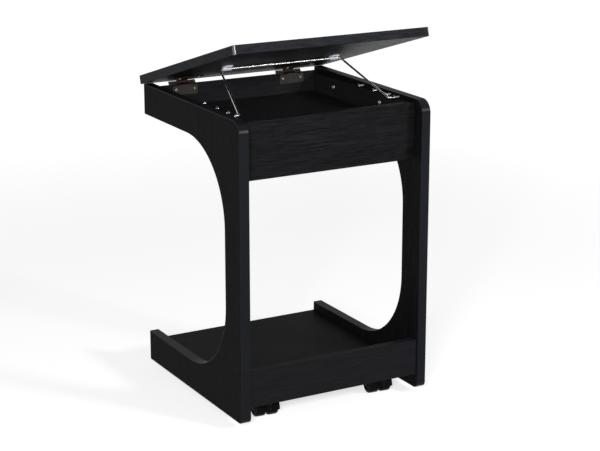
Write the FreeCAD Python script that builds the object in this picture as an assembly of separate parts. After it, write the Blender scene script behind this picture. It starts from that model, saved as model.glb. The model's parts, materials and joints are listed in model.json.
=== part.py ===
import FreeCAD, Part
import math
import os

# Lift-top end table: two C-shaped side panels carry a shallow storage box at the top and a low
# shelf at the bottom. The lid of the box turns on two cranked hinges at the rear and is propped
# at a working angle by a U-shaped wire stay, whose feet rest against pegs in the side panels.
# The shelf stands on four twin-wheel casters.
#
# Millimetres and degrees. X runs from the left side panel to the right one, Y from the front,
# where the posts of the C panels stand, to the open rear, and Z up from the floor. The origin is
# on the floor, under the middle of the table with its lid propped.

vector = FreeCAD.Vector

# ---- Side panels ----
table_width = 400.0            # over both side panels
panel_depth = 405.0            # front edge of a post to the rear end of an arm
panel_height = 568.0
panel_thickness = 19.0
post_width = 62.0
upper_arm_height = 59.5
lower_arm_height = 60.5
inner_corner_radius = 152.0    # inside corners of the C
upper_corner_radius = 25.0     # front corners, top and bottom
lower_corner_radius = 12.0
edging_thickness = 1.0         # glued strip round every panel edge
edging_round = 0.7             # eased arris of the strip
board_round = 0.6              # eased arris of the plain boards

# ---- Storage box ----
box_drop = 7.5                 # box boards below the side panels' top edges
box_front_setback = 28.0
box_front_height = 108.0
board_thickness = 16.0
lining_thickness = 10.0        # box sides and bottom
lining_drop = 1.0              # box sides below the box's top edge
lining_rebate = 2.0            # box sides let into the bottom's ends
bottom_lift = 3.0              # box bottom above the arms' undersides

# ---- Shelf and its front rail ----
shelf_lift = 26.5              # shelf underside above the side panels' bottom edges
rail_setback = 4.0
rail_lift = 29.0               # rail's bottom edge above the side panels' bottom edges
rail_height = 70.5

# ---- Lid ----
lid_side_overhang = 3.0
lid_front_overhang = 8.0
lid_rear_overhang = 12.0
lid_thickness = 17.0
lid_corner_radius = 6.0
lid_gap = 0.5                  # closed lid above the side panels
open_angle = 16.7              # propped lid, from closed

# ---- Hinges ----
hinge_inset = 62.0             # hinges' middles from the side panels' inner faces
pin_inset = 0.5                # pin's axis ahead of the panels' rear edges
leaf_thickness = 1.5
leaf_width = 54.0
leaf_height = 18.5             # box leaf, below the box's top edge
leaf_neck_width = 22.0
wing_depth = 8.0               # box leaf beside its neck, ahead of the pin
leaf_corner_radius = 2.5
lid_leaf_start = 40.0          # lid leaf's plate, from the lid's rear edge
lid_leaf_length = 22.0
bend_radius = 1.0              # inside radius of the cranked strap
knuckle_radius = 3.0
knuckle_gap = 0.3
middle_knuckle = 24.0
hinge_length = 56.0            # over the three knuckles
pin_radius = 1.5
pin_head_radius = 2.2
pin_head = 0.8
pin_head_round = 0.4
hinge_screw_spacing = 40.0     # two screws in each leaf
leaf_screw_drop = 8.0          # box leaf's screws below the box's top edge

# ---- Wire stay ----
wire_radius = 2.0
bar_setback = 212.0            # crossbar from the lid's rear edge
bar_drop = 5.0                 # crossbar's middle below the lid
bar_corner_inset = 51.7        # where bar and leg would meet, from the panels' inner faces
stay_leg = 145.0               # from the bar to the feet, square to the bar
foot_corner_inset = 22.5       # where leg and foot would meet, from the same faces
bar_bend = 7.0                 # bend radii of the wire's middle line
foot_bend = 5.0
foot_lift = 0.2                # feet above the box sides
foot_to_peg = 0.6              # feet short of the pegs' tips
clip_inset = 14.3              # clips' middles inside the bar's corners
clip_length = 16.0
clip_wall = 1.5
clip_flange = 9.0
clip_flange_thickness = 2.2
clip_flange_round = 2.0

# ---- Pegs ----
peg_places = (77.0, 107.0, 152.0, 205.0)   # from the posts' front edges
peg_rise = 2.7                 # peg's axis above the box sides
peg_radius = 2.5
peg_head_radius = 4.2
peg_head = 3.0
peg_head_round = 0.9
peg_reach = 16.0               # out of the side panel's inner face
peg_depth = 12.0               # into the side panel

# ---- Casters ----
caster_height = 40.0
caster_inset = 56.5            # swivel axes from the side panels' inner faces
caster_front = 43.0            # front swivel axes from the posts' front edges
caster_rear = 64.0             # rear swivel axes from the panels' rear edges
caster_heading = 85.0          # trailing direction at rest, from +X
caster_trail = 14.0
wheel_radius = 16.0
wheel_width = 21.0
wheel_round = 3.0              # inner arris of the tread
wheel_dome = 5.0               # outer arris of the tread
wheel_gap = 5.5                # between a caster's two wheels
wheel_dish = 2.0
wheel_dish_radius = 10.0
wheel_boss_radius = 4.0
hood_clearance = 1.0           # round the wheels
hood_wall = 1.8
hood_web = 4.1
hood_web_radius = 11.0
hood_skirt = 2.0               # hood's rim below the axle
hood_boss_radius = 9.0
stem_radius = 4.0
stem_collar_radius = 7.0
stem_collar = 0.7
stem_length = 8.0              # below the plate
swivel_gap = 0.3
axle_radius = 2.5
axle_depth = 12.0              # into each wheel
plate_size = 38.0
plate_thickness = 2.0
plate_corner = 4.0
plate_hole_spacing = 28.0

# ---- Fasteners ----
fit_clearance = 0.06           # round a pin, screw or dowel in its hole
end_clearance = 0.5            # beyond the end of a blind hole's pin
cam_reach = 24.0               # cam's middle from the side panel
cam_radius = 7.5
cam_depth = 12.5
cam_bolt_thread = 11.0
cam_bolt_radius = 2.5
cam_bolt_head_radius = 3.2
cam_bolt_head = 3.0
cam_bolt_neck_radius = 1.7
cam_bolt_neck = 4.0            # waist that the cam grips
cam_slot = 8.0
cam_slot_width = 1.6
cam_slot_depth = 2.0
dowel_radius = 4.0
dowel_in_panel = 11.0
dowel_in_board = 18.0
front_cam_rise = 33.0          # above the box front's bottom edge
front_dowel_rises = (15.0, 83.0)
back_cam_rise = 16.0           # above the box back's bottom edge
back_dowel_rise = 37.0
rail_cam_rise = 46.0           # above the rail's bottom edge
rail_dowel_rise = 22.0
shelf_cam_inset = 110.0        # from the posts' front edges
shelf_rear_cam_inset = 100.0   # from the panels' rear edges
shelf_dowel_place = 205.0      # from the posts' front edges
small_screw = (3.0, 1.5, 1.4, 14.0)        # head radius, head height, shank radius, length
lining_screw = (5.0, 2.6, 2.0, 24.0)
bottom_screw = (3.4, 2.2, 1.6, 26.0)
lining_screw_inset = 133.0     # from the posts' front edges
lining_rear_screw_inset = 97.0 # from the panels' rear edges
lining_screw_drop = 18.0       # below the box's top edge
bottom_screw_insets = (90.0, 215.0)        # from the posts' front edges
bottom_rear_screw_inset = 50.0 # from the panels' rear edges
screw_head_round = 1.2
screw_slot_width = 0.8

# ---- Planes and places that follow from the sizes above ----
panel_bottom = caster_height - shelf_lift
panel_top = panel_bottom + panel_height
box_top = panel_top - box_drop
arm_underside = panel_top - upper_arm_height
bottom_underside = arm_underside + bottom_lift
box_floor = bottom_underside + lining_thickness
lining_top = box_top - lining_drop
lining_bottom = box_floor - lining_rebate
shelf_top = caster_height + board_thickness
inner_face = table_width / 2 - panel_thickness
lining_face = inner_face - lining_thickness
lid_underside = panel_top + lid_gap
pin_z = lid_underside - leaf_thickness - knuckle_radius

pin_behind_front = panel_depth - pin_inset
lid_behind_pin = pin_inset + lid_rear_overhang
lid_depth = lid_front_overhang + panel_depth + lid_rear_overhang
open_sine = math.sin(math.radians(open_angle))
open_cosine = math.cos(math.radians(open_angle))
lid_top_above_pin = lid_underside + lid_thickness - pin_z
depth_propped = (pin_behind_front + lid_behind_pin * open_cosine
                 + lid_top_above_pin * open_sine)

front = -depth_propped / 2
rear = front + panel_depth
pin_y = rear - pin_inset
lid_rear = rear + lid_rear_overhang
lid_front = lid_rear - lid_depth
box_front = front + box_front_setback
box_front_back = box_front + board_thickness
box_back_face = rear - board_thickness
box_front_bottom = box_top - box_front_height
rail_front = front + rail_setback
rail_back = rail_front + board_thickness
rail_bottom = panel_bottom + rail_lift
bar_y = lid_rear - bar_setback
bar_z = lid_underside - bar_drop
peg_z = lining_top + peg_rise
peg_tip = inner_face - peg_reach

lid_width = table_width + 2 * lid_side_overhang
hinge_middle = inner_face - hinge_inset
bar_corner = inner_face - bar_corner_inset
foot_corner = inner_face - foot_corner_inset
clip_middle = bar_corner - clip_inset
caster_side = inner_face - caster_inset
shelf_cam_rows = (front + shelf_cam_inset, rear - shelf_rear_cam_inset)
lining_screw_rows = (front + lining_screw_inset, rear - lining_rear_screw_inset)
bottom_screw_rows = tuple(front + inset for inset in bottom_screw_insets)
bottom_screw_rows += (rear - bottom_rear_screw_inset,)

SIDES = (("left", -1), ("right", 1))
parts = {}


# ---- Shape helpers ----
def block(x, y, z):
    """A box from three (low, high) pairs."""
    size = [high - low for low, high in (x, y, z)]
    return Part.makeBox(size[0], size[1], size[2], vector(x[0], y[0], z[0]))


def rounded_path(points, radii, closed):
    """Edges along the points, with a tangent arc of the given radius at each corner."""
    count = len(points)
    starts, ends, arcs = [], [], []
    for index, point in enumerate(points):
        radius = radii[index]
        if radius == 0 or (not closed and index in (0, count - 1)):
            starts.append(point)
            ends.append(point)
            arcs.append(None)
            continue
        back = (points[index - 1] - point).normalize()
        ahead = (points[(index + 1) % count] - point).normalize()
        half = back.getAngle(ahead) / 2
        middle = (back + ahead).normalize()
        centre = point + middle * (radius / math.sin(half))
        setback = radius / math.tan(half)
        starts.append(point + back * setback)
        ends.append(point + ahead * setback)
        arcs.append(Part.Arc(starts[-1], centre - middle * radius, ends[-1]).toShape())
    edges = []
    for index in range(count):
        if arcs[index]:
            edges.append(arcs[index])
        following = (index + 1) % count
        if following or closed:
            run = Part.LineSegment(ends[index], starts[following])
            edges.append(run.toShape())
    return edges


def slab(points, radii, thickness):
    """A flat plate whose outline has rounded corners, pushed along the thickness vector."""
    outline = Part.Wire(rounded_path(points, radii, True))
    return Part.Face(outline).extrude(thickness)


def rectangle(x, y, z, radius, height):
    """A horizontal plate with rounded corners, from (low, high) pairs in X and Y."""
    corners = [vector(x[0], y[0], z), vector(x[1], y[0], z),
               vector(x[1], y[1], z), vector(x[0], y[1], z)]
    return slab(corners, [radius] * 4, vector(0, 0, height))


def lathe(profile, place, direction):
    """A turned piece: (radius, distance) pairs round an axis from a place, each with the
    rounding of its corner as a third number where it has one."""
    points = [vector(corner[0], 0, corner[1]) for corner in profile]
    radii = [corner[2] if len(corner) > 2 else 0 for corner in profile]
    face = Part.Face(Part.Wire(rounded_path(points, radii, True)))
    solid = face.revolve(vector(0, 0, 0), vector(0, 0, 1), 360)
    solid.Placement = FreeCAD.Placement(place, FreeCAD.Rotation(vector(0, 0, 1), direction))
    return solid


def rod(radius, place, direction, length):
    return Part.makeCylinder(radius, length, place, direction)


def hole(radius, place, direction, length):
    """The clearance hole for a pin or shank that starts at the place."""
    return rod(radius + fit_clearance, place, direction, length + end_clearance)


def eased(solid, radius, along):
    """The solid with its edges that run along one axis rounded."""
    edges = [edge for edge in solid.Edges
             if abs(edge.tangentAt(edge.FirstParameter).dot(along)) > 0.999]
    return solid.makeFillet(radius, edges)


def board(x, y, z):
    """A plain board between the side panels, with its long edges eased."""
    return eased(block(x, y, z), board_round, vector(1, 0, 0))


def cross_slot(place, direction, size, width, depth):
    """A cross recess in a round head, cut back along the direction from the place."""
    arm = Part.makeBox(size, width, depth, vector(-size / 2, -width / 2, -depth))
    across = arm.copy()
    across.rotate(vector(0, 0, 0), vector(0, 0, 1), 90)
    cross = arm.fuse(across)
    cross.Placement = FreeCAD.Placement(place, FreeCAD.Rotation(vector(0, 0, 1), direction))
    return cross


def pan_screw(size, place, direction):
    """A round-headed screw: its head stands out of the place, and its shank runs back."""
    head_radius, head, shank_radius, length = size
    profile = [(0, head), (head_radius, head, screw_head_round), (head_radius, 0),
               (shank_radius, 0), (shank_radius, shank_radius - length), (0, -length)]
    screw = lathe(profile, place, direction)
    top = place + direction * head
    return screw.cut(cross_slot(top, direction, head_radius, screw_slot_width, head / 2))


def flat_screw(size, place, direction):
    """A countersunk screw whose head is flush with the place."""
    head_radius, head, shank_radius, length = size
    profile = [(0, 0), (head_radius, 0), (shank_radius, -head),
               (shank_radius, shank_radius - length), (0, -length)]
    screw = lathe(profile, place, direction)
    return screw.cut(cross_slot(place, direction, head_radius, screw_slot_width, head / 2))


def countersink(size, place, direction):
    """The hole for a countersunk screw."""
    head_radius, head, shank_radius, length = size
    wide = head_radius + fit_clearance
    narrow = shank_radius + fit_clearance
    deep = length + end_clearance
    return lathe([(0, 0), (wide, 0), (narrow, -head), (narrow, -deep), (0, -deep)],
                 place, direction)


def screw_hole(size, place, direction):
    """The hole behind a round-headed screw."""
    return hole(size[2], place, direction * -1, size[3])


def with_holes(solid, holes):
    return solid.cut(Part.makeCompound(holes)) if holes else solid


def keep(name, solids):
    """Store a piece, or a group of separate pieces, under its name."""
    solids = solids if isinstance(solids, list) else [solids]
    parts[name] = solids[0] if len(solids) == 1 else Part.makeCompound(solids)


def on_lid(shape):
    """A piece laid out on the closed lid, turned up with it."""
    turned = shape.copy()
    turned.rotate(vector(0, pin_y, pin_z), vector(-1, 0, 0), open_angle)
    return turned


# ---- Knock-down fixings between the boards and the side panels ----
# A cam fixing is a bolt in the side panel, caught by a cam in the board. Each entry gives the
# height or depth of its axis and the way that the cam's pocket opens.
front_mid = box_front + board_thickness / 2
back_mid = box_back_face + board_thickness / 2
rail_mid = rail_front + board_thickness / 2
shelf_mid = caster_height + board_thickness / 2
rearwards = vector(0, 1, 0)
downwards = vector(0, 0, -1)

cams = {
    "box_front_panel": [(front_mid, box_front_bottom + front_cam_rise, rearwards)],
    "box_back_panel": [(back_mid, arm_underside + back_cam_rise, rearwards)],
    "shelf_front_rail": [(rail_mid, rail_bottom + rail_cam_rise, rearwards)],
    "shelf_panel": [(row, shelf_mid, downwards) for row in shelf_cam_rows],
}
dowels = {
    "box_front_panel": [(front_mid, box_front_bottom + rise) for rise in front_dowel_rises],
    "box_back_panel": [(back_mid, arm_underside + back_dowel_rise)],
    "shelf_front_rail": [(rail_mid, rail_bottom + rail_dowel_rise)],
    "shelf_panel": [(front + shelf_dowel_place, shelf_mid)],
}


def cam_bolt(side, y, z):
    stop = cam_reach + cam_bolt_head / 2
    neck = stop - cam_bolt_head - cam_bolt_neck
    profile = [(0, -cam_bolt_thread), (cam_bolt_radius, -cam_bolt_thread),
               (cam_bolt_radius, 0), (cam_bolt_head_radius, 0),
               (cam_bolt_head_radius, cam_bolt_head), (cam_bolt_radius, cam_bolt_head),
               (cam_bolt_radius, neck), (cam_bolt_neck_radius, neck),
               (cam_bolt_neck_radius, stop - cam_bolt_head),
               (cam_bolt_head_radius, stop - cam_bolt_head),
               (cam_bolt_head_radius, stop), (0, stop)]
    return lathe(profile, vector(side * inner_face, y, z), vector(-side, 0, 0))


def bolt_channel(side, y, z):
    """The bore that takes a cam bolt, from the board's end to past the bolt's head."""
    length = cam_reach + cam_bolt_head / 2
    return hole(cam_bolt_head_radius, vector(side * inner_face, y, z), vector(-side, 0, 0), length)


def cam_top(side, y, z, opens):
    """The middle of a cam's outer face, level with the board's face."""
    return vector(side * (inner_face - cam_reach), y, z) + opens * (board_thickness / 2)


def cam_lock(side, y, z, opens):
    top = cam_top(side, y, z, opens)
    cam = rod(cam_radius, top, opens * -1, cam_depth)
    cam = cam.cut(bolt_channel(side, y, z))
    return cam.cut(cross_slot(top, opens, cam_slot, cam_slot_width, cam_slot_depth))


def board_fixing_holes(name):
    """The cam pockets, bolt channels and dowel holes in both ends of a board."""
    holes = []
    for _, side in SIDES:
        inwards = vector(-side, 0, 0)
        for y, z, opens in cams[name]:
            holes.append(bolt_channel(side, y, z))
            holes.append(hole(cam_radius, cam_top(side, y, z, opens), opens * -1, cam_depth))
        for y, z in dowels[name]:
            start = vector(side * inner_face, y, z)
            holes.append(hole(dowel_radius, start, inwards, dowel_in_board))
    return holes


# ---- Side panels ----
def c_outline(inset):
    """Corners and radii of the C, drawn in by an inset, in the plane x = 0."""
    near, far = front + inset, rear - inset
    low, high = panel_bottom + inset, panel_top - inset
    throat = front + post_width - inset
    lower = panel_bottom + lower_arm_height - inset
    upper = arm_underside + inset
    top, bottom = upper_corner_radius - inset, lower_corner_radius - inset
    inner = inner_corner_radius + inset
    corners = [(far, low, 0), (near, low, bottom), (near, high, top), (far, high, 0),
               (far, upper, 0), (throat, upper, inner), (throat, lower, inner), (far, lower, 0)]
    return [vector(0, y, z) for y, z, _ in corners], [radius for _, _, radius in corners]


def c_slab(side, inset):
    points, radii = c_outline(inset)
    solid = slab(points, radii, vector(side * panel_thickness, 0, 0))
    solid.translate(vector(side * inner_face, 0, 0))
    return solid


def side_panel_holes(side):
    """Every hole in a side panel's inner face."""
    outwards = vector(side, 0, 0)
    holes = []
    for places in cams.values():
        for y, z, _ in places:
            holes.append(hole(cam_bolt_radius, vector(side * inner_face, y, z), outwards,
                              cam_bolt_thread))
    for places in dowels.values():
        for y, z in places:
            holes.append(hole(dowel_radius, vector(side * inner_face, y, z), outwards,
                              dowel_in_panel))
    for place in peg_places:
        start = vector(side * inner_face, front + place, peg_z)
        holes.append(hole(peg_radius, start, outwards, peg_depth))
    for row in lining_screw_rows:
        start = vector(side * lining_face, row, box_top - lining_screw_drop)
        holes.append(screw_hole(lining_screw, start, outwards * -1))
    return holes


def make_side_panels():
    for name, side in SIDES:
        whole = c_slab(side, 0)
        rims = [edge for edge in whole.Edges
                if abs(edge.BoundBox.XMax - edge.BoundBox.XMin) < panel_thickness / 2]
        rounded = whole.makeFillet(edging_round, rims)
        core = c_slab(side, edging_thickness)
        keep(name + "_side_edging", rounded.cut(core))
        keep(name + "_side_panel", with_holes(core, side_panel_holes(side)))


# ---- Storage box ----
def make_box():
    span = (-inner_face, inner_face)
    front_panel = board(span, (box_front, box_front_back), (box_front_bottom, box_top))
    keep("box_front_panel", with_holes(front_panel, board_fixing_holes("box_front_panel")))

    back_panel = board(span, (box_back_face, rear), (arm_underside, box_top))
    leaf_holes = [screw_hole(small_screw, place, rearwards * -1) for place in box_leaf_screws()]
    back_holes = board_fixing_holes("box_back_panel") + leaf_holes
    keep("box_back_panel", with_holes(back_panel, back_holes))

    inside = (box_front_back, box_back_face)
    bottom = block(span, inside, (bottom_underside, box_floor))
    bottom_holes, bottom_screws, lining_screws = [], [], []
    for name, side in SIDES:
        inwards = vector(-side, 0, 0)
        across = sorted((side * lining_face, side * inner_face))
        lining = block(across, inside, (lining_bottom, lining_top))
        bottom = bottom.cut(block(across, inside, (lining_bottom, box_floor)))
        side_holes = []
        for row in lining_screw_rows:
            start = vector(side * lining_face, row, box_top - lining_screw_drop)
            side_holes.append(screw_hole(lining_screw, start, inwards))
            lining_screws.append(pan_screw(lining_screw, start, inwards))
        for row in bottom_screw_rows:
            middle = side * (inner_face - lining_thickness / 2)
            start = vector(middle, row, bottom_underside)
            sink = countersink(bottom_screw, start, downwards)
            side_holes.append(sink)
            bottom_holes.append(sink)
            bottom_screws.append(flat_screw(bottom_screw, start, downwards))
        keep("box_" + name + "_side", with_holes(lining, side_holes))
    keep("box_bottom", with_holes(bottom, bottom_holes))
    keep("box_side_screws", lining_screws)
    keep("box_bottom_screws", bottom_screws)


# ---- Shelf ----
def make_shelf():
    span = (-inner_face, inner_face)
    rail = board(span, (rail_front, rail_back), (rail_bottom, rail_bottom + rail_height))
    keep("shelf_front_rail", with_holes(rail, board_fixing_holes("shelf_front_rail")))
    shelf = board(span, (rail_back, rear), (caster_height, shelf_top))
    caster_holes = [hole(small_screw[2], place, vector(0, 0, 1), small_screw[3] - plate_thickness)
                    for centre in caster_places.values()
                    for place in plate_screw_places(centre)]
    keep("shelf_panel", with_holes(shelf, board_fixing_holes("shelf_panel") + caster_holes))


def make_fixings():
    bolts, locks, pegs = [], [], []
    for _, side in SIDES:
        for places in cams.values():
            for y, z, opens in places:
                bolts.append(cam_bolt(side, y, z))
                locks.append(cam_lock(side, y, z, opens))
        for places in dowels.values():
            for y, z in places:
                start = vector(side * (inner_face + dowel_in_panel), y, z)
                pegs.append(rod(dowel_radius, start, vector(-side, 0, 0),
                                dowel_in_panel + dowel_in_board))
    keep("cam_bolts", bolts)
    keep("cam_locks", locks)
    keep("wood_dowels", pegs)


# ---- Pegs for the stay ----
def make_pegs():
    shank = peg_depth + peg_reach - peg_head
    whole = peg_depth + peg_reach
    profile = [(0, 0), (peg_radius, 0), (peg_radius, shank),
               (peg_head_radius, shank, peg_head_round), (peg_head_radius, whole, peg_head_round),
               (0, whole)]
    for name, side in SIDES:
        starts = [vector(side * (inner_face + peg_depth), front + place, peg_z)
                  for place in peg_places]
        keep(name + "_stay_pegs", [lathe(profile, start, vector(-side, 0, 0))
                                   for start in starts])


# ---- Hinges ----
def hinge_middles():
    return [(name, side * hinge_middle) for name, side in SIDES]


def box_leaf_screws():
    return [vector(middle + step * hinge_screw_spacing / 2, box_back_face,
                   box_top - leaf_screw_drop)
            for _, middle in hinge_middles() for step in (-1, 1)]


def lid_leaf_screws():
    y = lid_rear - lid_leaf_start - lid_leaf_length / 2
    return [vector(middle + step * hinge_screw_spacing / 2, y, lid_underside)
            for _, middle in hinge_middles() for step in (-1, 1)]


def barrel(middle, low, high):
    """Part of a knuckle round the pin, between two distances from the hinge's middle."""
    return rod(knuckle_radius, vector(middle + low, pin_y, pin_z), vector(1, 0, 0), high - low)


def knuckle_slot(middle, low, high):
    """Room in a leaf for the other leaf's barrel."""
    reach = knuckle_radius + knuckle_gap
    return block((middle + low, middle + high), (pin_y - reach, pin_y + reach),
                 (pin_z - reach - leaf_thickness, pin_z + reach + leaf_thickness))


def hinge_pin_bore(middle):
    start = vector(middle - hinge_length, pin_y, pin_z)
    return rod(pin_radius + fit_clearance, start, vector(1, 0, 0), 2 * hinge_length)


def box_leaf(middle):
    """The leaf on the box back's inner face: a T plate whose neck bends over the top edge and
    widens to the two outer knuckles."""
    face, skin = box_back_face, box_back_face - leaf_thickness
    strap_low = pin_z - knuckle_radius
    strap_high = strap_low + leaf_thickness
    half, neck = leaf_width / 2, leaf_neck_width / 2
    low = box_top - leaf_height
    corners = [vector(middle - half, skin, low), vector(middle + half, skin, low),
               vector(middle + half, skin, box_top), vector(middle - half, skin, box_top)]
    plate = slab(corners, [leaf_corner_radius] * 4, vector(0, leaf_thickness, 0))
    profile = [vector(0, skin, box_top - leaf_height / 2), vector(0, skin, strap_high),
               vector(0, pin_y, strap_high), vector(0, pin_y, strap_low),
               vector(0, face, strap_low), vector(0, face, box_top - leaf_height / 2)]
    radii = [0, bend_radius + leaf_thickness, 0, 0, bend_radius, 0]
    strap = slab(profile, radii, vector(leaf_neck_width, 0, 0))
    strap.translate(vector(middle - neck, 0, 0))
    end, centre = hinge_length / 2, middle_knuckle / 2
    wings = block((middle - end, middle + end), (pin_y - wing_depth, pin_y),
                  (strap_low, strap_high))
    slot = knuckle_slot(middle, -centre - knuckle_gap, centre + knuckle_gap)
    leaf = plate.fuse(strap.fuse(wings).cut(slot))
    for low_end, high_end in ((-end, -centre - knuckle_gap), (centre + knuckle_gap, end)):
        leaf = leaf.fuse(barrel(middle, low_end, high_end))
    leaf = leaf.cut(hinge_pin_bore(middle))
    holes = [hole(small_screw[2], place - vector(0, leaf_thickness, 0), rearwards,
                  leaf_thickness) for place in box_leaf_screws()]
    return with_holes(leaf, holes).removeSplitter()


def lid_leaf(middle):
    """The leaf under the closed lid: a T plate whose neck ends in the middle barrel."""
    start = lid_rear - lid_leaf_start
    half, neck, centre = leaf_width / 2, leaf_neck_width / 2, middle_knuckle / 2
    low = lid_underside - leaf_thickness
    plate = rectangle((middle - half, middle + half), (start - lid_leaf_length, start), low,
                      leaf_corner_radius, leaf_thickness)
    strap = block((middle - neck, middle + neck), (start - lid_leaf_length / 2, pin_y),
                  (low, lid_underside))
    root = block((middle - centre, middle + centre), (pin_y - knuckle_radius, pin_y),
                 (pin_z, low))
    leaf = plate.fuse([strap, root, barrel(middle, -centre, centre)])
    leaf = leaf.cut(hinge_pin_bore(middle))
    holes = [hole(small_screw[2], place - vector(0, 0, leaf_thickness), vector(0, 0, 1),
                  leaf_thickness) for place in lid_leaf_screws()]
    return with_holes(leaf, holes).removeSplitter()


def make_hinges():
    pins = []
    half = hinge_length / 2
    for name, middle in hinge_middles():
        keep(name + "_hinge_box_leaf", box_leaf(middle))
        keep(name + "_hinge_lid_leaf", on_lid(lid_leaf(middle)))
        profile = [(0, -half - pin_head), (pin_head_radius, -half - pin_head, pin_head_round),
                   (pin_head_radius, -half), (pin_radius, -half), (pin_radius, half),
                   (pin_head_radius, half), (pin_head_radius, half + pin_head, pin_head_round),
                   (0, half + pin_head)]
        pins.append(lathe(profile, vector(middle, pin_y, pin_z), vector(1, 0, 0)))
    keep("hinge_pins", pins)
    leaf_face = vector(0, leaf_thickness, 0)
    keep("hinge_box_screws", [pan_screw(small_screw, place - leaf_face, rearwards * -1)
                              for place in box_leaf_screws()])
    under_leaf = vector(0, 0, leaf_thickness)
    keep("hinge_lid_screws", [on_lid(pan_screw(small_screw, place - under_leaf, downwards))
                              for place in lid_leaf_screws()])


# ---- Lid ----
def clip_screw_places():
    y = bar_y - wire_radius - clip_wall - clip_flange / 2
    return [vector(side * clip_middle, y, lid_underside) for _, side in SIDES]


def make_lid():
    half = lid_width / 2
    whole = rectangle((-half, half), (lid_front, lid_rear), lid_underside,
                      lid_corner_radius, lid_thickness)
    rims = [edge for edge in whole.Edges
            if edge.BoundBox.ZMax - edge.BoundBox.ZMin < lid_thickness / 2]
    rounded = whole.makeFillet(edging_round, rims)
    inset = half - edging_thickness
    core = rectangle((-inset, inset), (lid_front + edging_thickness, lid_rear - edging_thickness),
                     lid_underside, lid_corner_radius - edging_thickness, lid_thickness)
    holes = [screw_hole(small_screw, place, downwards)
             for place in lid_leaf_screws() + clip_screw_places()]
    keep("lid_edging", on_lid(rounded.cut(core)))
    keep("lid_panel", on_lid(with_holes(core, holes)))


# ---- Wire stay and its clips ----
def bar_when_open():
    """The crossbar's (y, z) with the lid propped."""
    away, above = bar_y - pin_y, bar_z - pin_z
    return (pin_y + away * open_cosine + above * open_sine,
            pin_z - away * open_sine + above * open_cosine)


def stay_slope():
    """The angle of the propped legs below the horizontal."""
    foot_z = lining_top + wire_radius + foot_lift
    return math.degrees(math.asin((bar_when_open()[1] - foot_z) / stay_leg))


def make_stay():
    foot_end = peg_tip - foot_to_peg
    corners = [(-foot_end, -stay_leg), (-foot_corner, -stay_leg), (-bar_corner, 0),
               (bar_corner, 0), (foot_corner, -stay_leg), (foot_end, -stay_leg)]
    radii = [0, foot_bend, bar_bend, bar_bend, foot_bend, 0]
    points = [vector(x, y, 0) for x, y in corners]
    path = Part.Wire(rounded_path(points, radii, False))
    section = Part.Wire(Part.makeCircle(wire_radius, points[0], vector(1, 0, 0)))
    wire = path.makePipeShell([section], True, True)
    wire.rotate(vector(0, 0, 0), vector(1, 0, 0), stay_slope())
    y, z = bar_when_open()
    wire.translate(vector(0, y, z))
    keep("stay_wire", wire)
    print("stay wire volume over section times length",
          round(wire.Volume / (math.pi * wire_radius ** 2 * path.Length), 4))


def stay_clip(middle):
    """A saddle over the crossbar, with a screwed flange ahead of it."""
    reach = wire_radius + clip_wall
    ends = (middle - clip_length / 2, middle + clip_length / 2)
    saddle = block(ends, (bar_y - reach, bar_y + reach), (bar_z, lid_underside))
    ridge = rod(reach, vector(ends[0], bar_y, bar_z), vector(1, 0, 0), clip_length)
    flange = rectangle(ends, (bar_y - reach - clip_flange, bar_y),
                       lid_underside - clip_flange_thickness, clip_flange_round,
                       clip_flange_thickness)
    bore = rod(wire_radius + fit_clearance, vector(ends[0], bar_y, bar_z), vector(1, 0, 0),
               clip_length)
    return saddle.fuse([ridge, flange]).cut(bore).removeSplitter()


def make_clips():
    below = vector(0, 0, clip_flange_thickness)
    screws = []
    for (name, side), place in zip(SIDES, clip_screw_places()):
        drill = hole(small_screw[2], place - below, vector(0, 0, 1), clip_flange_thickness)
        keep(name + "_stay_clip", on_lid(stay_clip(side * clip_middle).cut(drill)))
        screws.append(on_lid(pan_screw(small_screw, place - below, downwards)))
    keep("stay_clip_screws", screws)


# ---- Casters ----
caster_places = {
    end + "_" + name: vector(side * caster_side, y, 0)
    for end, y in (("front", front + caster_front), ("rear", rear - caster_rear))
    for name, side in SIDES
}


def plate_screw_places(centre):
    """Where the screws of one caster plate enter the shelf."""
    step = plate_hole_spacing / 2
    return [centre + vector(x, y, caster_height) for x in (-step, step) for y in (-step, step)]


def caster_wheel(side):
    """One wheel on the local axle along Y: a domed tread, and a dish round a closed boss."""
    inner = wheel_gap / 2
    outer = inner + wheel_width
    profile = [(axle_radius + fit_clearance, inner), (wheel_radius, inner, wheel_round),
               (wheel_radius, outer, wheel_dome), (wheel_dish_radius, outer),
               (wheel_dish_radius - wheel_dish, outer - wheel_dish),
               (wheel_boss_radius + wheel_dish, outer - wheel_dish),
               (wheel_boss_radius, outer), (0, outer),
               (0, inner + axle_depth + end_clearance),
               (axle_radius + fit_clearance, inner + axle_depth + end_clearance)]
    return lathe(profile, vector(caster_trail, 0, wheel_radius), vector(0, side, 0))


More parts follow.
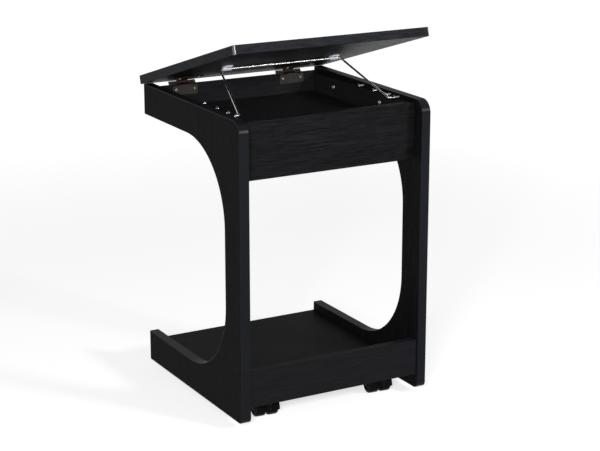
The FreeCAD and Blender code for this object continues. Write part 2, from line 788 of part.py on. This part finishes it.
def caster_hood():
    """A fender over both wheels, with a middle web for the axle and a boss for the stem."""
    axle = vector(caster_trail, 0, wheel_radius)
    across = vector(0, 1, 0)
    half = wheel_gap / 2 + wheel_width
    well = wheel_radius + hood_clearance
    shell_radius = well + hood_wall
    boss_top = caster_height - plate_thickness - stem_collar - swivel_gap
    shell = rod(shell_radius, axle - across * half, across, 2 * half)
    boss = rod(hood_boss_radius, vector(0, 0, wheel_radius), vector(0, 0, 1),
               boss_top - wheel_radius)
    body = shell.fuse(boss)
    for side in (-1, 1):
        start = axle + across * (side * hood_web / 2)
        body = body.cut(rod(well, start, across * side, half))
    body = body.cut(block((-shell_radius, caster_trail + shell_radius), (-half, half),
                          (-shell_radius, wheel_radius - hood_skirt)))
    web = rod(hood_web_radius, axle - across * (hood_web / 2), across, hood_web)
    body = body.fuse(web)
    body = body.cut(rod(axle_radius + fit_clearance, axle - across * half, across, 2 * half))
    stem_low = caster_height - plate_thickness - stem_length
    return body.cut(rod(stem_radius + fit_clearance, vector(0, 0, stem_low - end_clearance),
                        vector(0, 0, 1), caster_height)).removeSplitter()


def caster_plate():
    half = plate_size / 2
    low = caster_height - plate_thickness
    plate = rectangle((-half, half), (-half, half), low, plate_corner, plate_thickness)
    up = vector(0, 0, 1)
    holes = [rod(stem_radius + fit_clearance, vector(0, 0, 0), up, 2 * caster_height)]
    for place in plate_screw_places(vector(0, 0, 0)):
        holes.append(rod(small_screw[2] + fit_clearance, place - up * plate_thickness, up,
                         plate_thickness))
    return with_holes(plate, holes)


def caster_stem():
    low = caster_height - plate_thickness
    profile = [(0, low - stem_length), (stem_radius, low - stem_length),
               (stem_radius, low - stem_collar), (stem_collar_radius, low - stem_collar),
               (stem_collar_radius, low), (stem_radius, low), (stem_radius, caster_height),
               (0, caster_height)]
    return lathe(profile, vector(0, 0, 0), vector(0, 0, 1))


def make_casters():
    half_axle = wheel_gap / 2 + axle_depth
    axle = rod(axle_radius, vector(caster_trail, -half_axle, wheel_radius), vector(0, 1, 0),
               2 * half_axle)
    swivelled = {"hood": caster_hood(), "axle": axle,
                 "left_wheel": caster_wheel(1), "right_wheel": caster_wheel(-1)}
    fixed = {"plate": caster_plate(), "stem": caster_stem()}
    screws = []
    for corner, centre in caster_places.items():
        for piece, shape in swivelled.items():
            turned = shape.copy()
            turned.rotate(vector(0, 0, 0), vector(0, 0, 1), caster_heading)
            turned.translate(centre)
            keep(corner + "_caster_" + piece, turned)
        for piece, shape in fixed.items():
            moved = shape.copy()
            moved.translate(centre)
            keep(corner + "_caster_" + piece, moved)
        below = vector(0, 0, plate_thickness)
        screws += [pan_screw(small_screw, place - below, downwards)
                   for place in plate_screw_places(centre)]
    keep("caster_screws", screws)


make_side_panels()
make_box()
make_shelf()
make_fixings()
make_pegs()
make_hinges()
make_lid()
make_stay()
make_clips()
make_casters()

os.makedirs("parts", exist_ok=True)
for name, shape in parts.items():
    shape.exportStep("parts/" + name + ".step")
print(len(parts), "parts")
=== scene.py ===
"""Looks of the lift top end table: black laminate boards with banded edges, a bright wire stay,
bronze-toned hinges and black twin-wheel casters, in a plain white studio."""

import json
import math

import bmesh
import bpy
import numpy as np
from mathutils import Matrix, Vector


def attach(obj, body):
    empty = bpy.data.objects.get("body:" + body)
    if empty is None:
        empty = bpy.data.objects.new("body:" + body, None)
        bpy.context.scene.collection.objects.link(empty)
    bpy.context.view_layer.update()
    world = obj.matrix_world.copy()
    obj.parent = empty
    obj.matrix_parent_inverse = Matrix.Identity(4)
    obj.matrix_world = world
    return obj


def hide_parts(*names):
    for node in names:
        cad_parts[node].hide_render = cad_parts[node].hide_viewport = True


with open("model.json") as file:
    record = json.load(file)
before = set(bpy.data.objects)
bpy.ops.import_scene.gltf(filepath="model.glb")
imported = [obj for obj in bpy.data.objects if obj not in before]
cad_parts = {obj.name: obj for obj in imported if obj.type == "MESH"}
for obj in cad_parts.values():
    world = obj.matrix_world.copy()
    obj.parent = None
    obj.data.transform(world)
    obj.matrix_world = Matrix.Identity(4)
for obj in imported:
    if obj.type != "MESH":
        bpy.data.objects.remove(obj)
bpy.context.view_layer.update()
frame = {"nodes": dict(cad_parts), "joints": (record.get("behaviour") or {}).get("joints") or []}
nodes = frame["nodes"]
joints = {joint["name"]: joint for joint in frame["joints"]}

MM = 0.001
X_AXIS, Y_AXIS, Z_AXIS = range(3)
SIDES = ("left", "right")
CORNERS = [end + "_" + side for end in ("front", "rear") for side in SIDES]

# ---- Camera and studio ----
IMAGE_WIDTH = 600
CAMERA_PLACE = (-1.5290, -2.8058, 1.2255)
CAMERA_YAW = 29.21             # degrees to the right of +Y
CAMERA_PITCH = 15.90           # degrees below level
FOCAL_PIXELS = 1707.2          # focal length, in pixels of the image
SENSOR_WIDTH = 36.0

LAMP_TARGET = (0.0, 0.0, 0.5)
LAMPS = [                      # name, place, width in metres, watts
    ("soft_box_right", (1.45, -2.7, 1.55), 0.5, 38.0),
    ("soft_box_left", (-1.7, -2.45, 1.25), 0.6, 45.0),
]

FLOOR_SIZE = 40.0
FLOOR_COLOUR = (0.80, 0.80, 0.80, 1.0)
FLOOR_LIFT = 0.68              # white that the camera sees on the floor beyond the lamps' light
FLOOR_LIFT_FAR = 0.90          # the same away from the object, where less light falls
FLOOR_FADE = (0.8, 3.0)        # distances between which the one turns into the other
WORLD_COLOUR = (1.0, 1.0, 1.0, 1.0)
WORLD_LIGHT = 0.15             # share of the background's white that lights the object

# ---- Laminate: each size is a pair, across the grain and along it ----
LAMINATE_MIDDLE = 0.0130       # brightness halfway between the ground and the streaks
LAMINATE_SPREAD = 0.0065       # how far each of them is from it
LAMINATE_TINT = (1.0, 0.98, 1.08)
LAMINATE_GLOSS = 0.01
STREAK_SIZE = (0.9 * MM, 80 * MM)
STREAK_EDGES = (0.36, 0.66)    # noise: below the first is ground, above the second is streak
STREAK_DULLING = 0.10          # roughness that a streak adds
PORE_SIZE = (0.8 * MM, 14 * MM)
PORE_EDGES = (0.56, 0.68)
PORE_DULLING = 0.15
PORE_SHADE = 0.6               # share of a streak that a pore takes away
FIGURE_SIZE = (7 * MM, 360 * MM)
FIGURE_SHARE = 0.2             # how strongly the figure gathers the streaks
BEND_SIZE = (70 * MM, 150 * MM)
BEND_WIDTH = 9 * MM            # how far the bend moves the streaks
GRAIN_DEPTH = 0.05 * MM

# ---- Other finishes ----
TONE_PATCH = 14 * MM           # patches of slightly different colour on plastic
GLOSS_PATCH = 5 * MM           # patches of slightly different gloss on plastic
PATCH_DULLING = 0.12           # roughness that they add
STIPPLE_DEPTH = 0.01 * MM
EDGE_STIPPLE = 0.6 * MM
EDGE_ROUGHNESS = 0.22
EDGE_PATCH_DULLING = 0.06
EDGE_TOP_DULLING = 0.36        # roughness that an edge strip gains where it looks up
UP_EDGES = (0.6, 0.98)         # Z of the way a surface looks: below isn't up, and above is
LID_BAND_GRAIN = (24 * MM, 24 * MM, 1.6 * MM)
LID_BAND_ROUGHNESS = 0.34
CORNER_EDGES = (0.12, 0.30)    # X times Y of the same: below is flat, and above is a bend
METAL_GLOSS_PATCH = 3 * MM
METAL_GRAIN = 0.5 * MM
METAL_GRAIN_DEPTH = 0.004 * MM
BEECH_GRAIN = (30 * MM, 1 * MM, 1 * MM)
BEECH_ROUGHNESS = 0.6

# ---- Caster wheels, as on the construction model ----
WHEEL_RADIUS = 16 * MM
WHEEL_WIDTH = 21 * MM
WHEEL_GAP = 5.5 * MM           # between a caster's two wheels
WHEEL_INNER_ROUND = 3 * MM
WHEEL_DOME = 5 * MM            # rounding of the tread's outer edge
WHEEL_DISH_RADIUS = 10 * MM
WHEEL_DISH = 2 * MM            # depth of the outer face's dish
WHEEL_BOSS_RADIUS = 4 * MM
WHEEL_BOSS_DOME = 1.2 * MM
WHEEL_BORE = 2.56 * MM
WHEEL_BORE_DEPTH = 12.5 * MM

# ---- Moulding detail on the wheels ----
WHEEL_RIM_ROUND = 0.6 * MM     # rounding of the dish's upper edge
WHEEL_DISH_ROUND = 0.5 * MM    # rounding at the dish's bottom
WHEEL_GROOVE = 0.45 * MM       # depth of the tread's two grooves, and width of each of their runs
WHEEL_GROOVE_PLACES = (4.0 * MM, 12.5 * MM)    # from the inner face
WHEEL_RIBS = 6
WHEEL_RIB_RADIUS = 7.0 * MM    # circle on which the ribs in the dish stand
WHEEL_RIB_HEIGHT = 0.7 * MM
WHEEL_RIB_SPREAD = 0.9 * MM
WHEEL_RIB_TOP = 0.3 * MM       # half the width of a rib's top
WHEEL_STEPS = 96               # runs round a wheel
ROUND_STEPS = 8                # runs in each rounded corner of its profile
SHARP_ANGLE = 35.0             # degrees from which an edge stays sharp
SAME_POINT = 0.001 * MM        # points nearer to each other than this become one


# ---- Materials ----
class Link:
    """An output of a node. Arithmetic on it adds a Math node, and node() makes any other node."""

    def __init__(self, tree, socket=None):
        self.tree = tree
        self.socket = socket

    def node(self, kind, settings=None, inputs=None, output=0):
        """A new node. Its settings are set first, then its sockets get numbers or links."""
        made = self.tree.nodes.new(kind)
        for name, value in (settings or {}).items():
            setattr(made, name, value)
        for name, value in (inputs or {}).items():
            if isinstance(value, Link):
                self.tree.links.new(value.socket, made.inputs[name])
            else:
                made.inputs[name].default_value = value
        return Link(self.tree, made.outputs[output] if made.outputs else None)

    def calculate(self, operation, *values):
        """A Math node."""
        return self.node("ShaderNodeMath", {"operation": operation}, dict(enumerate(values)))

    def __add__(self, other):
        return self.calculate("ADD", self, other)

    def __radd__(self, other):
        return self.calculate("ADD", other, self)

    def __sub__(self, other):
        return self.calculate("SUBTRACT", self, other)

    def __rsub__(self, other):
        return self.calculate("SUBTRACT", other, self)

    def __mul__(self, other):
        return self.calculate("MULTIPLY", self, other)

    def __rmul__(self, other):
        return self.calculate("MULTIPLY", other, self)

    def steps(self, low, high):
        """0 below one value, 1 above the other, smooth between."""
        return self.node("ShaderNodeMapRange", {"interpolation_type": "SMOOTHSTEP"},
                         {"Value": self, "From Min": low, "From Max": high})


def blank(owner):
    """The empty node tree of a material or a world, as a Link that makes nodes."""
    owner.use_nodes = True
    owner.node_tree.nodes.clear()
    return Link(owner.node_tree)


def object_place(tree):
    """Where a point lies on its piece, in metres."""
    return tree.node("ShaderNodeTexCoord", output="Object")


def noise(place, size, detail=2.0, roughness=0.5, distortion=0.0, output=0):
    """Noise whose cells have the given size, or sizes along X, Y and Z, in metres."""
    sizes = size if isinstance(size, tuple) else (size,) * 3
    scaled = place.node("ShaderNodeMapping", {"vector_type": "POINT"},
                        {"Vector": place, "Scale": tuple(1 / each for each in sizes)})
    return place.node("ShaderNodeTexNoise", None,
                      {"Vector": scaled, "Scale": 1.0, "Detail": detail,
                       "Roughness": roughness, "Distortion": distortion}, output)


def blend(factor, low, high):
    """A colour that goes from one to another with the factor. The node has sockets for every kind
    of value: 6, 7 and output 2 are the colours."""
    return factor.node("ShaderNodeMix", {"data_type": "RGBA"}, {0: factor, 6: low, 7: high},
                       output=2)


def grey(value):
    return (value, value, value, 1.0)


def surface(name, colour, roughness, height=None, depth=0.0, **plain):
    """A material. Colour, roughness and coat weight may be functions that make nodes, height is
    the bump in units of depth, and the rest are plain numbers on the shader's own sockets."""
    material = bpy.data.materials.new(name)
    tree = blank(material)
    inputs = {"Base_Color": colour, "Roughness": roughness, **plain}
    inputs = {key.replace("_", " "): value(tree) if callable(value) else value
              for key, value in inputs.items()}
    if height:
        inputs["Normal"] = tree.node("ShaderNodeBump", None,
                                     {"Strength": 1.0, "Distance": depth, "Height": height(tree)})
    shader = tree.node("ShaderNodeBsdfPrincipled", None, inputs)
    tree.node("ShaderNodeOutputMaterial", None, {"Surface": shader})
    return material


def laminate(name, grain, tone=1.0, smooth=0.44, contrast=1.0):
    """Black laminate embossed with fine wood grain that runs along one axis: short dark pores
    between long paler streaks. A slow figure gathers the streaks, and a slow bend moves them
    across the grain. A tone of 1 is the common black, smooth is the roughness between the
    streaks, and a contrast below 1 makes the grain fainter."""
    def sizes(across, along):
        return tuple(along if axis == grain else across for axis in range(3))

    def streaks(tree):
        place = object_place(tree)
        bend = noise(place, sizes(*BEND_SIZE), detail=1.0, output="Color")
        bent = tree.node("ShaderNodeVectorMath", {"operation": "MULTIPLY_ADD"},
                         {0: bend, 1: sizes(BEND_WIDTH, 0.0), 2: place})
        figure = noise(bent, sizes(*FIGURE_SIZE), detail=1.0)
        fine = noise(bent, sizes(*STREAK_SIZE), detail=3.0, roughness=0.6, distortion=0.1)
        return (fine + FIGURE_SHARE * (figure - 0.5)).steps(*STREAK_EDGES)

    def pores(tree):
        return noise(object_place(tree), sizes(*PORE_SIZE), detail=1.0).steps(*PORE_EDGES)

    def colour(tree):
        # tone scales both levels: for the rail, the shelf and the boards inside the box it is
        # painted light or painted shade
        levels = [LAMINATE_MIDDLE + sign * LAMINATE_SPREAD * contrast for sign in (-1, 1)]
        low, high = ((*(level * tone * part for part in LAMINATE_TINT), 1.0) for level in levels)
        return blend(streaks(tree) * (1 - PORE_SHADE * pores(tree)), low, high)

    def roughness(tree):
        return smooth + STREAK_DULLING * streaks(tree) + PORE_DULLING * pores(tree)

    def height(tree):
        return streaks(tree) - pores(tree)

    return surface(name, colour, roughness, height, GRAIN_DEPTH,
                   Specular_IOR_Level=LAMINATE_GLOSS)


def facing(tree):
    """The X, Y and Z of the way a surface looks, in the piece's own directions."""
    normal = tree.node("ShaderNodeTexCoord", output="Normal")
    return [tree.node("ShaderNodeSeparateXYZ", None, {"Vector": normal}, output=axis)
            for axis in "XYZ"]


def facing_up(tree):
    """1 where a surface looks up, 0 where it stands upright or looks down."""
    return facing(tree)[Z_AXIS].steps(*UP_EDGES)


def round_corner(tree):
    """1 on the bend round an upright corner, 0 on the flat runs beside it: the size of X times Y
    of the way that the surface looks, which is 0.5 in the middle of the bend."""
    across, along, _ = facing(tree)
    product = across * along
    return product.calculate("ABSOLUTE", product).steps(*CORNER_EDGES)


def edge_strip(name, low, high):
    """A smooth glued strip, which is duller where it looks up."""
    def colour(tree):
        return blend(noise(object_place(tree), TONE_PATCH), low, high)

    def roughness(tree):
        patches = noise(object_place(tree), GLOSS_PATCH, detail=3.0)
        return EDGE_ROUGHNESS + EDGE_PATCH_DULLING * patches + EDGE_TOP_DULLING * facing_up(tree)

    def height(tree):
        return noise(object_place(tree), EDGE_STIPPLE)

    return surface(name, colour, roughness, height, STIPPLE_DEPTH, Specular_IOR_Level=0.10)


def grained_strip(name, low, high):
    """A glued strip with grain along its level runs, and a coat that shines round the corners."""
    def colour(tree):
        grain = noise(object_place(tree), LID_BAND_GRAIN, detail=3.0, roughness=0.6)
        return blend(grain.steps(*STREAK_EDGES), low, high)

    def roughness(tree):
        patches = noise(object_place(tree), GLOSS_PATCH, detail=3.0)
        return LID_BAND_ROUGHNESS + PATCH_DULLING * patches

    def height(tree):
        return noise(object_place(tree), LID_BAND_GRAIN, detail=3.0)

    return surface(name, colour, roughness, height, STIPPLE_DEPTH, Specular_IOR_Level=0.02,
                   Coat_Weight=round_corner, Coat_Roughness=0.20, Coat_IOR=2.0)


def stippled(name, low, high, roughness, size, **plain):
    """Moulded plastic: a fine stipple of the given size, and a slow change of colour and gloss."""
    return surface(
        name,
        lambda tree: blend(noise(object_place(tree), TONE_PATCH), low, high),
        lambda tree: roughness + PATCH_DULLING * noise(object_place(tree), GLOSS_PATCH, detail=3.0),
        lambda tree: noise(object_place(tree), size), STIPPLE_DEPTH, **plain)


def metal(name, low, high, roughness, spread, size):
    """Plated metal: its tone changes in patches of the given size, and its roughness by up to the
    spread."""
    return surface(
        name,
        lambda tree: blend(noise(object_place(tree), size, detail=3.0), low, high),
        lambda tree: roughness + spread * noise(object_place(tree), METAL_GLOSS_PATCH, detail=4.0),
        lambda tree: noise(object_place(tree), METAL_GRAIN), METAL_GRAIN_DEPTH, Metallic=1.0)


board_laminate = laminate("black_laminate_lengthwise", X_AXIS, tone=1.04)
panel_laminate = laminate("black_laminate_upright", Z_AXIS, tone=0.76)
# rail: a lighter copy of the same black laminate, as painted light
rail_laminate_painted_light = laminate("black_laminate_rail_painted_light", X_AXIS, tone=1.20, contrast=0.45)
# shelf: a darker copy of the same black laminate, as painted shade that takes back the light it
# gets from above
shelf_laminate_painted_shade = laminate("black_laminate_shelf_painted_shade", X_AXIS, tone=0.52, contrast=0.45)
# inside the box: lighter copies of the same black laminate, as painted light where the open lid
# shades the box
inner_laminate_painted_light = laminate("black_laminate_inside_painted_light", X_AXIS, tone=1.5, contrast=0.5)
floor_laminate_painted_light = laminate("black_laminate_box_floor_painted_light", X_AXIS, tone=2.0, contrast=0.6)
lining_laminate_painted_light = laminate("black_laminate_lining_painted_light", Y_AXIS, tone=1.55, contrast=0.5)
lid_laminate = laminate("black_laminate_lid", X_AXIS, tone=0.85, smooth=0.28)
edge_band = edge_strip("black_edge_band",
                       (0.0038, 0.0044, 0.0064, 1), (0.0058, 0.0068, 0.0096, 1))
lid_band = grained_strip("black_lid_edge_band",
                         (0.0105, 0.0113, 0.0133, 1), (0.0275, 0.0292, 0.0345, 1))
caster_nylon = stippled("black_nylon", grey(0.0018), grey(0.0040),
                        roughness=0.26, size=0.5 * MM, Specular_IOR_Level=0.04)
white_plastic = stippled("white_plastic", (0.76, 0.81, 0.88, 1), (0.82, 0.86, 0.92, 1),
                         roughness=0.22, size=1.2 * MM)
bright_wire = metal("bright_wire", (0.70, 0.70, 0.71, 1), (0.80, 0.80, 0.81, 1),
                    roughness=0.22, spread=0.10, size=6 * MM)
hinge_plate = metal("bronze_plate", (0.055, 0.049, 0.045, 1), (0.095, 0.083, 0.077, 1),
                    roughness=0.38, spread=0.2, size=7 * MM)
# hinge lid leaves: the bronze hue of the leaf, darkened to near black as painted shade from the lid
# above
shaded_bronze_plate = stippled("dark_bronze_painted_shade", (0.022, 0.012, 0.010, 1), (0.046, 0.026, 0.021, 1),
                      roughness=0.40, size=0.5 * MM, Specular_IOR_Level=0.15)
plated_steel = metal("zinc_plate", (0.38, 0.38, 0.39, 1), (0.48, 0.48, 0.48, 1),
                     roughness=0.18, spread=0.2, size=2 * MM)
satin_nickel = metal("satin_nickel", (0.80, 0.80, 0.81, 1), (0.90, 0.90, 0.90, 1),
                     roughness=0.34, spread=0.1, size=2 * MM)
# stay pegs: steel darkened as painted shade, so that the white background in their reflections
# reads grey
polished_steel_painted_shade = metal("polished_steel_painted_shade", (0.20, 0.20, 0.21, 1), (0.28, 0.28, 0.29, 1),
                       roughness=0.10, spread=0.06, size=2 * MM)
zinc_casting = metal("zinc_casting", (0.38, 0.38, 0.40, 1), (0.52, 0.52, 0.54, 1),
                     roughness=0.35, spread=0.2, size=2 * MM)
beech = surface("beech",
                lambda tree: blend(noise(object_place(tree), BEECH_GRAIN, detail=3.0),
                                   (0.42, 0.27, 0.14, 1), (0.62, 0.44, 0.26, 1)), BEECH_ROUGHNESS)

FINISHES = {
    panel_laminate: ["left_side_panel", "right_side_panel"],
    board_laminate: ["box_front_panel"],
    rail_laminate_painted_light: ["shelf_front_rail"],
    shelf_laminate_painted_shade: ["shelf_panel"],
    inner_laminate_painted_light: ["box_back_panel"],
    floor_laminate_painted_light: ["box_bottom"],
    lid_laminate: ["lid_panel"],
    lining_laminate_painted_light: ["box_left_side", "box_right_side"],
    edge_band: ["left_side_edging", "right_side_edging"],
    lid_band: ["lid_edging"],
    hinge_plate: [side + "_hinge_box_leaf" for side in SIDES],
    shaded_bronze_plate: [side + "_hinge_lid_leaf" for side in SIDES],
    satin_nickel: ["box_side_screws"],
    plated_steel: ["box_bottom_screws", "cam_bolts", "hinge_pins",
                   "hinge_box_screws", "hinge_lid_screws", "stay_clip_screws", "caster_screws"]
                  + [corner + "_caster_" + piece for corner in CORNERS
                     for piece in ("plate", "stem", "axle")],
    caster_nylon: [corner + "_caster_" + piece for corner in CORNERS
                   for piece in ("hood", "left_wheel", "right_wheel")],
    polished_steel_painted_shade: ["left_stay_pegs", "right_stay_pegs"],
    zinc_casting: ["cam_locks"],
    beech: ["wood_dowels"],
    bright_wire: ["stay_wire"],
    white_plastic: ["left_stay_clip", "right_stay_clip"],
}


def finish_nodes():
    """Every node of the construction model takes its material."""
    for material, names in FINISHES.items():
        for name in names:
            mesh = nodes[name].data
            mesh.materials.clear()
            mesh.materials.append(material)


# ---- Mesh helpers ----
def put(name, data):
    """A new object in the scene, at the origin."""
    thing = bpy.data.objects.new(name, data)
    bpy.context.scene.collection.objects.link(thing)
    return thing


def rounded(corners):
    """A polyline through (radius, distance, rounding) corners. A rounding of nothing keeps the
    corner. Any other is an arc of that radius that leaves both runs at a tangent. From the arc's
    centre, with start and end the ways to its two ends and turn the angle between them, a point
    at a share of the arc is start times sine((1 - share) turn), plus end times sine(share turn),
    over sine(turn)."""
    points = []
    for index, (x, y, rounding) in enumerate(corners):
        here = np.array((x, y))
        if not rounding:
            points.append(here[None])
            continue
        back = np.array(corners[index - 1][:2]) - here
        ahead = np.array(corners[index + 1][:2]) - here
        back /= np.linalg.norm(back)
        ahead /= np.linalg.norm(ahead)
        half = math.acos(np.clip(back @ ahead, -1, 1)) / 2
        middle = (back + ahead) / np.linalg.norm(back + ahead)
        centre = here + middle * rounding / math.sin(half)
        start = here + back * rounding / math.tan(half) - centre
        end = here + ahead * rounding / math.tan(half) - centre
        share = np.linspace(0, 1, ROUND_STEPS + 1)[:, None]
        turn = math.pi - 2 * half
        arc = (np.sin((1 - share) * turn) * start + np.sin(share * turn) * end) / math.sin(turn)
        points.append(centre + arc)
    return np.concatenate(points)


def turned(name, grid, material):
    """A mesh from rows of points round an axle. Each row joins the next, and the last the first.
    Points that fall together, as at a pole, become one."""
    rows, columns = grid.shape[:2]
    here = np.arange(rows * columns).reshape(rows, columns)
    following = np.roll(here, -1, axis=0)
    faces = np.stack([here[:, :-1], following[:, :-1], following[:, 1:], here[:, 1:]], axis=-1)
    mesh = bpy.data.meshes.new(name)
    mesh.from_pydata(grid.reshape(-1, 3).tolist(), [], faces.reshape(-1, 4).tolist())
    work = bmesh.new()
    work.from_mesh(mesh)
    bmesh.ops.remove_doubles(work, verts=work.verts, dist=SAME_POINT)
    bmesh.ops.recalc_face_normals(work, faces=work.faces)
    work.to_mesh(mesh)
    work.free()
    mesh.polygons.foreach_set("use_smooth", np.ones(len(mesh.polygons), bool))
    mesh.set_sharp_from_angle(angle=math.radians(SHARP_ANGLE))
    mesh.materials.append(material)
    return put(name, mesh)


# ---- Caster wheels ----
def wheel_grid(centre, axle):
    """A wheel turned round its axle. Its skin is a profile of (radius, distance) pairs, from the
    bottom of the bore out over the inner face, the grooved tread and the dished outer face to
    the middle of the hub. In the dish the skin stands out in ribs: by a rib's height, times
    exp(-r r), where r is the distance from the ribs' circle over their spread, times the square
    of the cosine of the angle times the number of ribs, wherever that cosine is above zero."""
    inner = WHEEL_GAP / 2
    outer = inner + WHEEL_WIDTH
    groove = WHEEL_RADIUS - WHEEL_GROOVE
    flat_groove, sharp_groove = (inner + place for place in WHEEL_GROOVE_PLACES)
    bore_end = inner + WHEEL_BORE_DEPTH
    bottom = outer - WHEEL_DISH
    profile = rounded([
        (0, bore_end, 0),
        (WHEEL_BORE, bore_end, 0),
        (WHEEL_BORE, inner, 0),
        (WHEEL_RADIUS, inner, WHEEL_INNER_ROUND),
        (WHEEL_RADIUS, flat_groove, 0),
        (groove, flat_groove + WHEEL_GROOVE, 0),
        (groove, flat_groove + 2 * WHEEL_GROOVE, 0),
        (WHEEL_RADIUS, flat_groove + 3 * WHEEL_GROOVE, 0),
        (WHEEL_RADIUS, sharp_groove, 0),
        (groove, sharp_groove + WHEEL_GROOVE, 0),
        (WHEEL_RADIUS, sharp_groove + 2 * WHEEL_GROOVE, 0),
        (WHEEL_RADIUS, outer, WHEEL_DOME),
        (WHEEL_DISH_RADIUS, outer, WHEEL_RIM_ROUND),
        (WHEEL_DISH_RADIUS - WHEEL_DISH, bottom, WHEEL_DISH_ROUND),
        (WHEEL_RIB_RADIUS + WHEEL_RIB_TOP, bottom, 0),
        (WHEEL_RIB_RADIUS - WHEEL_RIB_TOP, bottom, 0),
        (WHEEL_BOSS_RADIUS + WHEEL_DISH, bottom, WHEEL_DISH_ROUND),
        (WHEEL_BOSS_RADIUS, outer, WHEEL_BOSS_DOME),
        (0, outer, 0),
    ])
    angle = np.linspace(0, 2 * np.pi, WHEEL_STEPS, endpoint=False)[:, None]
    radius, distance = profile[:, 0][None], profile[:, 1][None]
    beside = (radius - WHEEL_RIB_RADIUS) / WHEEL_RIB_SPREAD
    in_dish = np.exp(-beside ** 2) * (distance > inner + WHEEL_WIDTH / 2)
    ribs = np.clip(np.cos(angle * WHEEL_RIBS), 0, 1) ** 2
    distance = distance + WHEEL_RIB_HEIGHT * in_dish * ribs
    level = np.cross(axle, (0.0, 0.0, 1.0))
    level /= np.linalg.norm(level)
    upright = np.cross(axle, level)
    return (np.array(centre, float) + distance[..., None] * axle
            + (radius * np.cos(angle))[..., None] * level
            + (radius * np.sin(angle))[..., None] * upright)


def make_wheels():
    """Two wheels to each caster. From the middle between them, the left one lies along the axis
    of its joint, and the right one against it."""
    for corner in CORNERS:
        for side, sense in zip(SIDES, (1, -1)):
            node = corner + "_caster_" + side + "_wheel"
            joint = joints[node + "_roll"]
            axle = sense * np.array(joint["axis"], float)
            piece = turned(node + "_moulding", wheel_grid(joint["pos_m"], axle), caster_nylon)
            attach(piece, node)
            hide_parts(node)


# ---- Studio ----
def make_camera():
    data = bpy.data.cameras.new("camera")
    data.sensor_width = SENSOR_WIDTH
    data.lens = FOCAL_PIXELS / IMAGE_WIDTH * SENSOR_WIDTH
    camera = put("camera", data)
    camera.location = CAMERA_PLACE
    camera.rotation_euler = (math.radians(90 - CAMERA_PITCH), 0, math.radians(-CAMERA_YAW))
    bpy.context.scene.camera = camera


def seen_white(tree):
    """1 for what the camera sees straight, in gloss or through glass, and 0 for light."""
    straight, gloss, glass = [tree.node("ShaderNodeLightPath", output=name)
                              for name in ("Is Camera Ray", "Is Glossy Ray",
                                           "Is Transmission Ray")]
    seen = straight + gloss + glass
    return seen.calculate("MINIMUM", seen, 1.0)


def make_world():
    """A white background that gives only a little light."""
    world = bpy.data.worlds.new("studio")
    bpy.context.scene.world = world
    tree = blank(world)
    strength = WORLD_LIGHT + (1 - WORLD_LIGHT) * seen_white(tree)
    shade = tree.node("ShaderNodeBackground", None, {"Color": WORLD_COLOUR, "Strength": strength})
    tree.node("ShaderNodeOutputWorld", None, {"Surface": shade})


def make_floor():
    """A pale floor that shades and keeps shadows. What the camera sees of it gets some white on
    top, so that it meets the background without a line."""
    material = bpy.data.materials.new("studio_floor")
    tree = blank(material)
    pale = tree.node("ShaderNodeBsdfDiffuse", None, {"Color": FLOOR_COLOUR})
    distance = tree.node("ShaderNodeVectorMath", {"operation": "LENGTH"},
                         {0: object_place(tree)}, output="Value")
    strength = FLOOR_LIFT + (FLOOR_LIFT_FAR - FLOOR_LIFT) * distance.steps(*FLOOR_FADE)
    lift = tree.node("ShaderNodeEmission", None,
                     {"Color": WORLD_COLOUR, "Strength": strength * seen_white(tree)})
    both = tree.node("ShaderNodeAddShader", None, {0: pale, 1: lift})
    tree.node("ShaderNodeOutputMaterial", None, {"Surface": both})
    half = FLOOR_SIZE / 2
    mesh = bpy.data.meshes.new("floor")
    mesh.from_pydata([(-half, -half, 0), (half, -half, 0), (half, half, 0), (-half, half, 0)],
                     [], [(0, 1, 2, 3)])
    mesh.materials.append(material)
    put("floor", mesh)


def make_lamp(name, place, width, watts):
    """A square soft box that faces the lamps' target."""
    data = bpy.data.lights.new(name, "AREA")
    data.shape = "SQUARE"
    data.size = width
    data.energy = watts
    lamp = put(name, data)
    lamp.location = place
    aim = Vector(LAMP_TARGET) - Vector(place)
    lamp.rotation_euler = aim.to_track_quat("-Z", "Y").to_euler()


def make_studio():
    make_camera()
    make_world()
    make_floor()
    for lamp in LAMPS:
        make_lamp(*lamp)
    bpy.context.scene.view_settings.view_transform = "Standard"


make_studio()
finish_nodes()
make_wheels()
